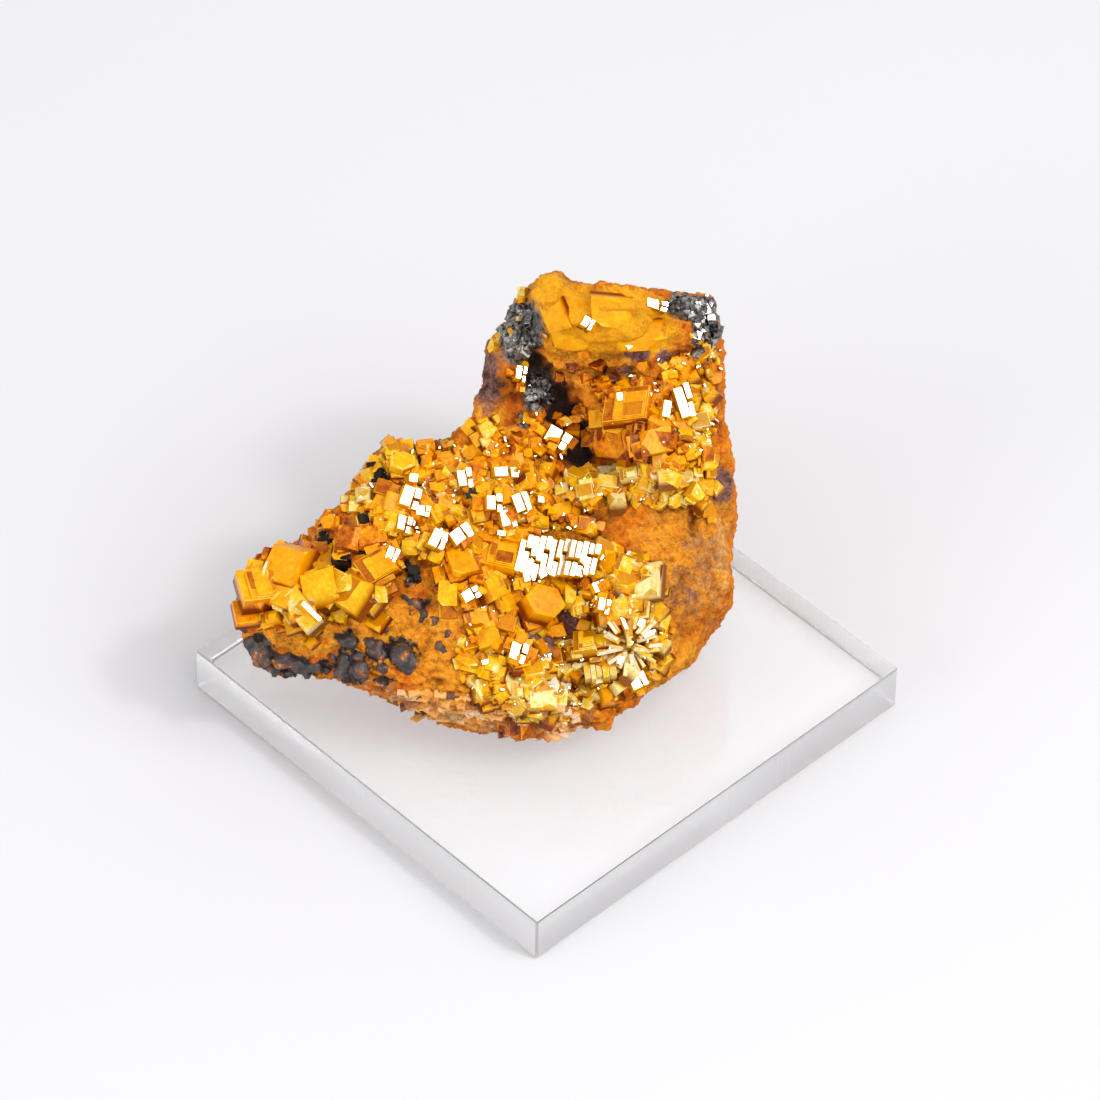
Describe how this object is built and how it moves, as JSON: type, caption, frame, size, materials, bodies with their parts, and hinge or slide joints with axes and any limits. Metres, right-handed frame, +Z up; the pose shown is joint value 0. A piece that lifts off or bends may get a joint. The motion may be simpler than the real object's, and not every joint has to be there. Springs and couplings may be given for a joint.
{
  "type": "mimetite specimen on stand",
  "caption": "Mimetite specimen with yellow-orange crystals and dark knobs on orange limonite, resting on a square of clear acrylic.",
  "frame": {"origin": "middle of the acrylic square's underside", "axes": "+Z up, out of the square's top; X and Y along the square's edges; the specimen's front faces between +X and -Y"},
  "size_m": [0.11, 0.1201, 0.0973],
  "materials": {
    "clear_acrylic": "clear, polished faces",
    "limonite": "earthy, matt",
    "mimetite": "resinous, partly see-through, glinting faces",
    "goethite": "dark, glossy knobs",
    "galena": "metallic, sparkling"
  },
  "bodies": {
    "root": {"acrylic_base": "clear_acrylic", "limonite_matrix": "limonite", "mimetite_left_tip": "mimetite", "mimetite_left_ridge": "mimetite", "mimetite_middle_field": "mimetite", "mimetite_striated_plate": "mimetite", "mimetite_centre": "mimetite", "mimetite_rosette": "mimetite", "mimetite_front_druse": "mimetite", "mimetite_shelf": "mimetite", "mimetite_tower_mass": "mimetite", "mimetite_tower_face": "mimetite", "goethite_left_crust": "goethite", "goethite_front_crust": "goethite", "galena_right_crust": "galena", "galena_left_crust": "galena"}
  },
  "joints": []
}
